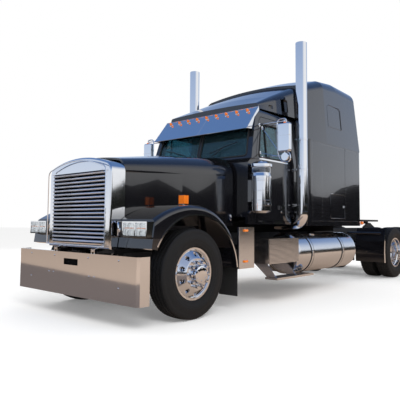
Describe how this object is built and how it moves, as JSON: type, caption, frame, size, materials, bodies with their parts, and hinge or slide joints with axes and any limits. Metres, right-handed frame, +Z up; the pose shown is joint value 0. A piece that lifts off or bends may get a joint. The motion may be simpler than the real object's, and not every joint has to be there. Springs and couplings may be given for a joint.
{
  "type": "semi truck tractor unit",
  "caption": "Long-nose road tractor with a tilting front end, swinging doors, raised-roof sleeper, steered front wheels and a rocking trailer coupling.",
  "frame": {"origin": "on the ground under the middle of the vehicle's box", "axes": "+X forward, +Y to the vehicle's left, +Z up"},
  "size_m": [9.1, 2.996, 3.965],
  "materials": {
    "frame_black": "satin chassis black",
    "engine_grey": "cast and painted grey",
    "body_black": "deep gloss black",
    "bright": "chrome plate",
    "polished": "polished aluminium",
    "wheel_alloy": "polished aluminium",
    "lens_clear": "clear lens",
    "amber": "amber lens",
    "red_lens": "red lens",
    "pane": "tinted safety glass",
    "flap_rubber": "matt black",
    "trim_grey": "woven cloth and soft trim",
    "tread": "matt black rubber"
  },
  "bodies": {
    "chassis": {"frame_rails": "frame_black", "crossmembers": "frame_black", "engine": "engine_grey", "driveshafts": "frame_black", "front_axle": "frame_black", "rear_axles": "frame_black", "suspension": "frame_black", "bumper": "bright", "radiator": "engine_grey", "cab": "body_black", "windscreen": "pane", "sleeper": "body_black", "roof_cap": "body_black", "sun_visor": "bright", "air_cleaners": "bright", "exhaust_stacks": "bright", "fuel_tanks": "polished", "side_boxes": "polished", "steps": "polished", "kick_panels": "polished", "quarter_fenders": "body_black", "mudflaps": "flap_rubber", "seats": "trim_grey", "dashboard": "trim_grey", "fifth_wheel_base": "frame_black", "marker_lamps": "amber", "tail_lamps": "red_lens"},
    "front_end": {"hood": "body_black", "grille_shell": "bright", "grille_louvres": "bright", "fenders": "body_black", "headlight_bezels": "bright", "headlight_lenses": "lens_clear", "turn_lamps": "amber"},
    "left_door": {"door_left": "body_black", "door_glass_left": "pane", "mirror_left": "bright"},
    "right_door": {"door_right": "body_black", "door_glass_right": "pane", "mirror_right": "bright"},
    "left_knuckle": {"knuckle_left": "frame_black"},
    "right_knuckle": {"knuckle_right": "frame_black"},
    "track_rod": {"tie_rod": "frame_black"},
    "left_front_wheel": {"tyre_front_left": "tread", "wheel_front_left": "wheel_alloy"},
    "right_front_wheel": {"tyre_front_right": "tread", "wheel_front_right": "wheel_alloy"},
    "left_rear_wheels_1": {"tyres_rear_1_left": "tread", "wheels_rear_1_left": "wheel_alloy"},
    "right_rear_wheels_1": {"tyres_rear_1_right": "tread", "wheels_rear_1_right": "wheel_alloy"},
    "left_rear_wheels_2": {"tyres_rear_2_left": "tread", "wheels_rear_2_left": "wheel_alloy"},
    "right_rear_wheels_2": {"tyres_rear_2_right": "tread", "wheels_rear_2_right": "wheel_alloy"},
    "coupling_plate": {"fifth_wheel": "frame_black"}
  },
  "joints": [
    {"name": "front_end_tilt", "type": "hinge", "parent": "chassis", "child": "front_end", "pos_m": [4.5, 0, 0.792], "axis": [0, 1, 0], "range_deg": [0, 70]},
    {"name": "left_door_swing", "type": "hinge", "parent": "chassis", "child": "left_door", "pos_m": [2.234, 1.041, 1.6], "axis": [0, 0, -1], "range_deg": [0, 70]},
    {"name": "right_door_swing", "type": "hinge", "parent": "chassis", "child": "right_door", "pos_m": [2.234, -1.041, 1.6], "axis": [0, 0, 1], "range_deg": [0, 70]},
    {"name": "left_steer", "type": "hinge", "parent": "chassis", "child": "left_knuckle", "pos_m": [3.65, 0.875, 0.52], "axis": [0, 0, 1], "range_deg": [-35, 35]},
    {"name": "right_steer", "type": "hinge", "parent": "chassis", "child": "right_knuckle", "pos_m": [3.65, -0.875, 0.52], "axis": [0, 0, 1], "range_deg": [-35, 35]},
    {"name": "track_rod_swing", "type": "hinge", "parent": "left_knuckle", "child": "track_rod", "pos_m": [3.45, 0.875, 0.392], "axis": [0, 0, 1], "range_deg": [-35, 35]},
    {"name": "left_front_roll", "type": "hinge", "parent": "left_knuckle", "child": "left_front_wheel", "pos_m": [3.65, 1.035, 0.527], "axis": [0, 1, 0], "continuous": true},
    {"name": "right_front_roll", "type": "hinge", "parent": "right_knuckle", "child": "right_front_wheel", "pos_m": [3.65, -1.035, 0.527], "axis": [0, 1, 0], "continuous": true},
    {"name": "left_rear_roll_1", "type": "hinge", "parent": "chassis", "child": "left_rear_wheels_1", "pos_m": [-2.55, 0.912, 0.527], "axis": [0, 1, 0], "continuous": true},
    {"name": "right_rear_roll_1", "type": "hinge", "parent": "chassis", "child": "right_rear_wheels_1", "pos_m": [-2.55, -0.912, 0.527], "axis": [0, 1, 0], "continuous": true},
    {"name": "left_rear_roll_2", "type": "hinge", "parent": "chassis", "child": "left_rear_wheels_2", "pos_m": [-3.87, 0.912, 0.527], "axis": [0, 1, 0], "continuous": true},
    {"name": "right_rear_roll_2", "type": "hinge", "parent": "chassis", "child": "right_rear_wheels_2", "pos_m": [-3.87, -0.912, 0.527], "axis": [0, 1, 0], "continuous": true},
    {"name": "coupling_rock", "type": "hinge", "parent": "chassis", "child": "coupling_plate", "pos_m": [-3.05, 0, 1.125], "axis": [0, 1, 0], "range_deg": [-12, 12]}
  ],
  "couplings": [
    {"joint": "right_steer", "follows": "left_steer", "ratio": 1},
    {"joint": "track_rod_swing", "follows": "left_steer", "ratio": -1}
  ]
}
